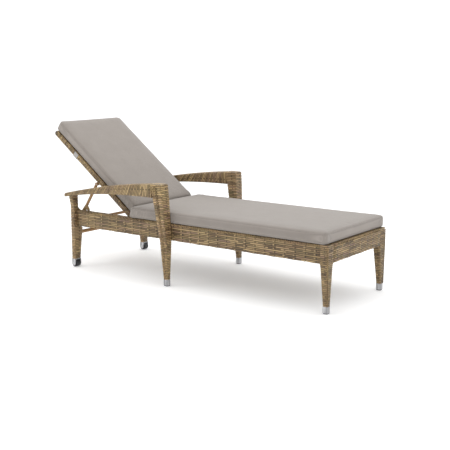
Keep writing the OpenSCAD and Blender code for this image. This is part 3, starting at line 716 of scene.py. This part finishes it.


# ---------------------------------------------------------------- cushions
# Two foam cushions in one taupe outdoor cloth, boxed: a top and a bottom panel sewn to a
# side band with a fine seam. They meet in the crease, and the back cushion is laid up with the back.
def cloth_material():
    material, tree, shader = new_material("taupe_cloth", (0.28, 0.25, 0.22), 0.85)
    nodes, links = tree.nodes, tree.links
    shader.inputs["Sheen Weight"].default_value = 0.25
    shader.inputs["Sheen Roughness"].default_value = 0.6
    shader.inputs["Specular IOR Level"].default_value = 0.2
    place = nodes.new("ShaderNodeTexCoord")
    weave_height = []
    for axis_turn in (0.0, 90.0):
        mapping = nodes.new("ShaderNodeMapping")
        mapping.inputs["Rotation"].default_value = (0.0, 0.0, math.radians(axis_turn))
        links.new(place.outputs["Object"], mapping.inputs["Vector"])
        wave = nodes.new("ShaderNodeTexWave")
        wave.inputs["Scale"].default_value = 210.0
        wave.inputs["Distortion"].default_value = 0.6
        wave.inputs["Detail"].default_value = 1.0
        links.new(mapping.outputs[0], wave.inputs["Vector"])
        weave_height.append(wave.outputs["Fac"])
    join = nodes.new("ShaderNodeMath")
    join.operation = "MAXIMUM"
    links.new(weave_height[0], join.inputs[0])
    links.new(weave_height[1], join.inputs[1])
    slub = nodes.new("ShaderNodeTexNoise")
    slub.inputs["Scale"].default_value = 14.0
    slub.inputs["Detail"].default_value = 5.0
    links.new(place.outputs["Object"], slub.inputs["Vector"])
    ramp = nodes.new("ShaderNodeValToRGB")
    ramp.color_ramp.elements[0].position = 0.3
    ramp.color_ramp.elements[0].color = (0.258, 0.228, 0.203, 1)
    ramp.color_ramp.elements[1].position = 0.7
    ramp.color_ramp.elements[1].color = (0.276, 0.245, 0.219, 1)
    links.new(slub.outputs["Fac"], ramp.inputs[0])
    thread = nodes.new("ShaderNodeMix")
    thread.data_type = "RGBA"
    thread.blend_type = "MULTIPLY"
    thread.inputs[0].default_value = 0.35
    links.new(ramp.outputs[0], thread.inputs[6])
    links.new(join.outputs[0], thread.inputs[7])
    links.new(thread.outputs[2], shader.inputs["Base Color"])
    bump = nodes.new("ShaderNodeBump")
    bump.inputs["Strength"].default_value = 0.18
    bump.inputs["Distance"].default_value = 0.0006
    links.new(join.outputs[0], bump.inputs["Height"])
    links.new(bump.outputs[0], shader.inputs["Normal"])
    return material


taupe_cloth = cloth_material()
cushion_thick = 0.066
crease_lean = math.tan(back_tilt / 2)


top_room = 0.003
pull_in = 0.009


def cushion_block(name, x_far, half, low):
    """The cushion before filling: its crease end leans so that the two meet at rest."""
    deselect()
    bpy.ops.mesh.primitive_cube_add(size=1)
    block = bpy.context.object
    block.name = block.data.name = name
    for vertex in block.data.vertices:
        z = low + 0.001 if vertex.co.z < 0 else low + cushion_thick - top_room
        near = z * crease_lean + 0.0012
        x = near if vertex.co.x < 0 else x_far + pull_in
        vertex.co = (x, math.copysign(half + pull_in / 3, vertex.co.y), z)
    bpy.ops.object.mode_set(mode="EDIT")
    bpy.ops.mesh.select_mode(type="EDGE")
    bpy.ops.mesh.select_all(action="DESELECT")
    bpy.ops.object.mode_set(mode="OBJECT")
    for edge in block.data.edges:
        a, b = (block.data.vertices[k].co for k in edge.vertices)
        edge.select = abs(a.z - b.z) > 0.03 and min(a.x, b.x) > x_far - 0.05
    bpy.ops.object.mode_set(mode="EDIT")
    bpy.ops.mesh.bevel(offset=0.024, segments=6, affect="EDGES")
    bpy.ops.mesh.select_all(action="SELECT")
    bpy.ops.mesh.bevel(offset=0.011, segments=3, affect="EDGES")
    bpy.ops.mesh.normals_make_consistent(inside=False)
    bpy.ops.object.mode_set(mode="OBJECT")
    return block


def fill_with_foam(block, voxel, cap, floor_z):
    """Swells the cushion by cloth pressure, holds it to a cap, and keeps its underside flat."""
    block.data.remesh_voxel_size = voxel
    deselect()
    block.select_set(True)
    bpy.context.view_layer.objects.active = block
    bpy.ops.object.voxel_remesh()
    count = len(block.data.vertices)
    before = np.empty(count * 3)
    block.data.vertices.foreach_get("co", before)
    before = before.reshape(-1, 3)
    cloth = block.modifiers.new("Filling", "CLOTH")
    cloth.settings.use_pressure = True
    cloth.settings.uniform_pressure_force = 4.0
    cloth.settings.effector_weights.gravity = 0.0
    cloth.settings.tension_stiffness = 22.0
    cloth.settings.bending_stiffness = 1.2
    cloth.settings.quality = 5
    cloth.point_cache.frame_start, cloth.point_cache.frame_end = 1, 20
    for step in range(1, 21):
        bpy.context.scene.frame_set(step)
    bpy.ops.object.modifier_apply(modifier="Filling")
    bpy.context.scene.frame_set(1)
    after = np.empty(count * 3)
    block.data.vertices.foreach_get("co", after)
    after = after.reshape(-1, 3)
    move = after - before
    far = np.linalg.norm(move, axis=1, keepdims=True)
    move *= np.minimum(1.0, cap / np.maximum(far, 1e-9))
    after = before + move
    after[:, 2] = np.maximum(after[:, 2], floor_z)
    block.data.vertices.foreach_set("co", after.ravel())
    block.data.update()
    smooth = block.modifiers.new("Relax", "SMOOTH")
    smooth.factor = 0.5
    smooth.iterations = 6
    bpy.ops.object.modifier_apply(modifier="Relax")
    subdivide = block.modifiers.new("Round", "SUBSURF")
    subdivide.levels = subdivide.render_levels = 1
    bpy.ops.object.modifier_apply(modifier="Round")
    bpy.ops.object.shade_smooth()


def crease_blend(piece):
    """Bakes the piece's transform into its mesh."""
    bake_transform(piece)


seat_half = 0.318
post_gap = 0.0012


def squeeze_at_posts(cover):
    """The seat cushion is wider than the room between the middle posts, which press it in."""
    for vertex in cover.data.vertices:
        x = vertex.co.x + hinge_x
        away = max(mid_low.x - x, x - mid_high.x, 0.0) / 0.05
        ease = min(1.0, away) ** 2 * (3 - 2 * min(1.0, away))
        limit = rail_high.y - post_gap + ease * (seat_half + 0.006 - rail_high.y + post_gap)
        vertex.co.y = max(-limit, min(limit, vertex.co.y))


def crease_folds(cover):
    """Shallow folds fan out from both ends of the crease where the cloth is gathered."""
    half = max(vertex.co.y for vertex in cover.data.vertices)
    for vertex in cover.data.vertices:
        along = vertex.co.x - (vertex.co.z * crease_lean)
        edge = (half - abs(vertex.co.y)) / 0.11
        if along > 0.16 or edge > 1 or vertex.co.z < 0.030:
            continue
        fade = (1 - along / 0.16) * (1 - edge) ** 1.5
        fold = math.sin(along * 150 + abs(vertex.co.y) * 60) * 0.0016 * fade
        vertex.co.z += fold
        vertex.co.y -= math.copysign(fold, vertex.co.y)


seat_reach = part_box("seat_cushion")[1].x - hinge_x
back_reach = back_length + 0.006
back_cushion_half = back_half - 0.001
foam_voxel = 0.008
foam_swell = 0.007
cushion_floor = 0.0167
seat = cushion_block("seat_cushion_cover", seat_reach, seat_half, back_middle)
fill_with_foam(seat, foam_voxel, foam_swell, cushion_floor)
crease_folds(seat)
squeeze_at_posts(seat)
back = cushion_block("back_cushion_cover", back_reach, back_cushion_half, back_middle)
fill_with_foam(back, foam_voxel, foam_swell, cushion_floor)
crease_folds(back)


def seam_line(name, cover, x_far, half, height, corner=0.024):
    """The sewn joint between a panel and the side band: a fine welt that follows the cover."""
    near = height * crease_lean + 0.001
    outline = []
    for hub_x, hub_y, first in ((x_far - corner, half - corner, 0), (near + 0.008, half - 0.008, 90),
                                (near + 0.008, -half + 0.008, 180), (x_far - corner, -half + corner, 270)):
        reach = corner if first in (0, 270) else 0.008
        for step in range(9):
            turn = math.radians(first + step * 11.25)
            outline.append((hub_x + reach * math.cos(turn), hub_y + reach * math.sin(turn)))
    outline.append(outline[0])
    path = []
    for (ax, ay), (bx, by) in zip(outline, outline[1:]):
        steps = max(1, round(math.hypot(bx - ax, by - ay) / 0.007))
        path += [(ax + (bx - ax) * k / steps, ay + (by - ay) * k / steps) for k in range(steps)]
    tree = BVHTree.FromObject(cover, bpy.context.evaluated_depsgraph_get())
    snapped = np.array([tree.find_nearest(Vector((x, y, height)))[0] for x, y in path])
    outward = np.array([tree.find_nearest(Vector((x, y, height)))[1] for x, y in path])
    snapped += outward * 0.0004
    ahead = np.roll(snapped, -1, 0) - np.roll(snapped, 1, 0)
    ahead /= np.linalg.norm(ahead, axis=1, keepdims=True)
    aside = np.cross(ahead, outward)
    aside /= np.linalg.norm(aside, axis=1, keepdims=True)
    ring = np.radians(np.arange(0, 361, 60))
    closed = np.vstack([np.arange(len(path))[:, None], [[0]]]).ravel()
    stitch = 1 + 0.12 * np.cos(np.arange(len(closed)) * math.pi)
    points = snapped[closed][:, None, :] + seam_radius * stitch[:, None, None] * (
        np.cos(ring)[None, :, None] * outward[closed][:, None, :]
        + np.sin(ring)[None, :, None] * aside[closed][:, None, :])
    run, row = np.meshgrid(np.arange(len(closed)) * 1.0, ring / ring[-1], indexing="ij")
    return laid_mesh(name, points, run, row)


seam_radius = 0.0016
seams = []
for cover, x_far, half in ((seat, seat_reach, seat_half), (back, back_reach, back_cushion_half)):
    for level, height in (("top", back_middle + cushion_thick - 0.010), ("bottom", back_middle + 0.010)):
        name = cover.name.replace("cover", level + "_seam")
        seams.append((seam_line(name, cover, x_far, half, height), cover))

seat.data.transform(Matrix.Translation((hinge_x, 0, hinge_z)))
back.data.transform(Matrix.Scale(-1, 4, (1, 0, 0)))
back.data.flip_normals()
lay_on_back(back)
for seam, cover in seams:
    if cover is seat:
        seam.data.transform(Matrix.Translation((hinge_x, 0, hinge_z)))
    else:
        seam.data.transform(Matrix.Scale(-1, 4, (1, 0, 0)))
        seam.data.flip_normals()
        lay_on_back(seam)
    seam.data.materials.clear()
    seam.data.materials.append(taupe_cloth)
    crease_blend(seam)
for cover, node in ((seat, "seat_cushion"), (back, "back_cushion")):
    cover.data.materials.clear()
    cover.data.materials.append(taupe_cloth)
    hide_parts(node)
    crease_blend(cover)


# ---------------------------------------------------------------- strap
# A ribbed elastic webbing band is sewn into a loop round the back's frame, and holds
# the back cushion from slipping; it shows as a light patch on each side member.
strap_middle = -0.570
strap_width = 0.036
strap_thick = 0.0015


def strap_path():
    """The band's way round the back's frame, from one upper edge down, across and up."""
    turn = 0.004
    half, half_thick = back_half + 0.0002, back_middle + 0.0002
    corner = [(math.cos(a), math.sin(a)) for a in np.radians(np.linspace(0, -90, 7))]
    right = [(half - turn + turn * c, -half_thick + turn + turn * s) for c, s in corner]
    out = [(half, half_thick - 0.001), (half, 0.0)] + right
    return out + [(-y, z) for y, z in reversed(out)]


def webbing_band():
    path = np.array(strap_path())
    ahead = np.gradient(path, axis=0)
    ahead /= np.linalg.norm(ahead, axis=1, keepdims=True)
    outward = np.stack([-ahead[:, 1], ahead[:, 0]], 1)
    outward *= np.sign((outward * path).sum(1, keepdims=True) + 1e-9)
    ribs = 12
    across = np.arange(ribs * 4 + 1) / (ribs * 4)
    bulge = strap_thick * (0.72 + 0.28 * np.abs(np.sin(across * ribs * math.pi)))
    bulge[[0, -1]] = strap_thick * 0.25
    x = strap_middle + (across - 0.5) * strap_width
    outer = path[:, None, :] + outward[:, None, :] * bulge[None, :, None]
    inner = np.repeat(path[:, None, :], len(x), 1)
    loop = np.concatenate([outer, inner[:, ::-1], outer[:, :1]], 1)
    xs = np.concatenate([x, x[::-1], x[:1]])
    points = np.zeros((*loop.shape[:2], 3))
    points[..., 0] = xs[None, :]
    points[..., 1:] = loop
    run, row = np.meshgrid(np.arange(len(path)) * 1.0, np.arange(len(xs)) * 1.0, indexing="ij")
    return laid_mesh("strap_webbing_band", points, run, row)


strap = webbing_band()
lay_on_back(strap)
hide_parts("cushion_strap")
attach(strap, "backrest")


# ---------------------------------------------------------------- metal and plastic
# Polished aluminium feet, brown powder-coated tube and steel, bright pins and black
# wheels keep their worked shapes; each gets its own finish.
def metal_finish(name, base, roughness, metallic, scale, spread, bump_depth=0.00004, streak=1.0):
    """A metal or paint with fine unevenness in tone, gloss and surface; streak draws it out upright, and on
    the polished caps the strong upright tone is painted reflection.
    """
    material, tree, shader = new_material(name, base, roughness, metallic)
    nodes, links = tree.nodes, tree.links
    place = nodes.new("ShaderNodeTexCoord")
    noise = nodes.new("ShaderNodeTexNoise")
    noise.inputs["Scale"].default_value = scale
    noise.inputs["Detail"].default_value = 5.0
    stretch = nodes.new("ShaderNodeMapping")
    stretch.inputs["Scale"].default_value = (1.0, 1.0, streak)
    links.new(place.outputs["Object"], stretch.inputs["Vector"])
    links.new(stretch.outputs[0], noise.inputs["Vector"])
    ramp = nodes.new("ShaderNodeValToRGB")
    ramp.color_ramp.elements[0].position = 0.3
    ramp.color_ramp.elements[1].position = 0.7
    ramp.color_ramp.elements[0].color = (*[c * (1 - spread) for c in base], 1)
    ramp.color_ramp.elements[1].color = (*[min(1, c * (1 + spread)) for c in base], 1)
    links.new(noise.outputs["Fac"], ramp.inputs[0])
    links.new(ramp.outputs[0], shader.inputs["Base Color"])
    gloss = nodes.new("ShaderNodeMapRange")
    gloss.inputs["To Min"].default_value = max(0.05, roughness - 0.1)
    gloss.inputs["To Max"].default_value = roughness + 0.1
    links.new(noise.outputs["Fac"], gloss.inputs["Value"])
    links.new(gloss.outputs[0], shader.inputs["Roughness"])
    bump = nodes.new("ShaderNodeBump")
    bump.inputs["Strength"].default_value = 0.3
    bump.inputs["Distance"].default_value = bump_depth
    links.new(noise.outputs["Fac"], bump.inputs["Height"])
    links.new(bump.outputs[0], shader.inputs["Normal"])
    return material


finishes = {
    # The polished caps' tone runs in strong upright light and dark streaks: painted reflection bands.
    "polished_cap": metal_finish("polished_aluminium", (0.40, 0.40, 0.41), 0.20, 1.0, 150.0, 0.65,
                                 streak=0.04),
    "frame_tube": metal_finish("brown_powder_coat", (0.06, 0.045, 0.032), 0.55, 0.0, 300.0, 0.15, 0.0001),
    "coated_tube": metal_finish("tan_powder_coat", (0.34, 0.19, 0.075), 0.42, 0.0, 300.0, 0.12, 0.0001),
    "steel_bracket": metal_finish("bronze_powder_coat", (0.26, 0.165, 0.07), 0.45, 0.0, 300.0, 0.14, 0.0001),
    "glide_plastic": metal_finish("black_glide", (0.02, 0.02, 0.02), 0.5, 0.0, 200.0, 0.2),
    "steel_pin": metal_finish("bright_zinc", (0.55, 0.55, 0.56), 0.32, 1.0, 90.0, 0.12),
    "wheel_rubber": metal_finish("black_wheel", (0.018, 0.018, 0.02), 0.5, 0.0, 150.0, 0.25, 0.0001),
    "strap_webbing": metal_finish("grey_webbing", (0.34, 0.325, 0.31), 0.8, 0.0, 400.0, 0.15, 0.0002),
}
for entry in frame["record"]["subparts"]:
    node_object = frame["nodes"][entry["node"]]
    finish = finishes.get(entry["material_slot"])
    if finish is not None:
        node_object.data.materials.clear()
        node_object.data.materials.append(finish)

strap.data.materials.clear()
strap.data.materials.append(finishes["strap_webbing"])


# ---------------------------------------------------------------- wheels
# A castor wheel is moulded in one piece: a round-shouldered tyre, a sunk web and a hub
# that stands up round the axle.
def select_faces(piece, test):
    bpy.ops.object.mode_set(mode="EDIT")
    bpy.ops.mesh.select_mode(type="FACE")
    bpy.ops.mesh.select_all(action="DESELECT")
    bpy.ops.object.mode_set(mode="OBJECT")
    for face in piece.data.polygons:
        face.select = test(face)
    bpy.ops.object.mode_set(mode="EDIT")


for side in ("left", "right"):
    low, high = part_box("wheel_" + side)
    deselect()
    bpy.ops.mesh.primitive_cylinder_add(vertices=72, radius=(high.z - low.z) / 2, depth=high.y - low.y,
                                        location=(low + high) / 2, rotation=(math.radians(90), 0, 0))
    wheel = bpy.context.object
    wheel.name = wheel.data.name = "moulded_wheel_" + side
    bpy.ops.object.transform_apply(location=True, rotation=True, scale=True)
    select_faces(wheel, lambda face: abs(face.normal.y) > 0.9)
    bpy.ops.mesh.inset(thickness=0.0045, depth=0.0, use_individual=True)
    bpy.ops.mesh.inset(thickness=0.0010, depth=-0.0035, use_individual=True)
    bpy.ops.mesh.inset(thickness=0.0070, depth=0.0, use_individual=True)
    bpy.ops.mesh.inset(thickness=0.0008, depth=0.0030, use_individual=True)
    bpy.ops.object.mode_set(mode="OBJECT")
    edges = wheel.modifiers.new("Shoulders", "BEVEL")
    edges.width, edges.segments, edges.limit_method = 0.0011, 3, "ANGLE"
    edges.angle_limit = math.radians(40)
    bpy.ops.object.modifier_apply(modifier="Shoulders")
    bpy.ops.object.shade_smooth_by_angle(angle=math.radians(35))
    wheel.data.materials.clear()
    wheel.data.materials.append(finishes["wheel_rubber"])
    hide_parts("wheel_" + side)
    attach(wheel, "wheel_%s_body" % side)
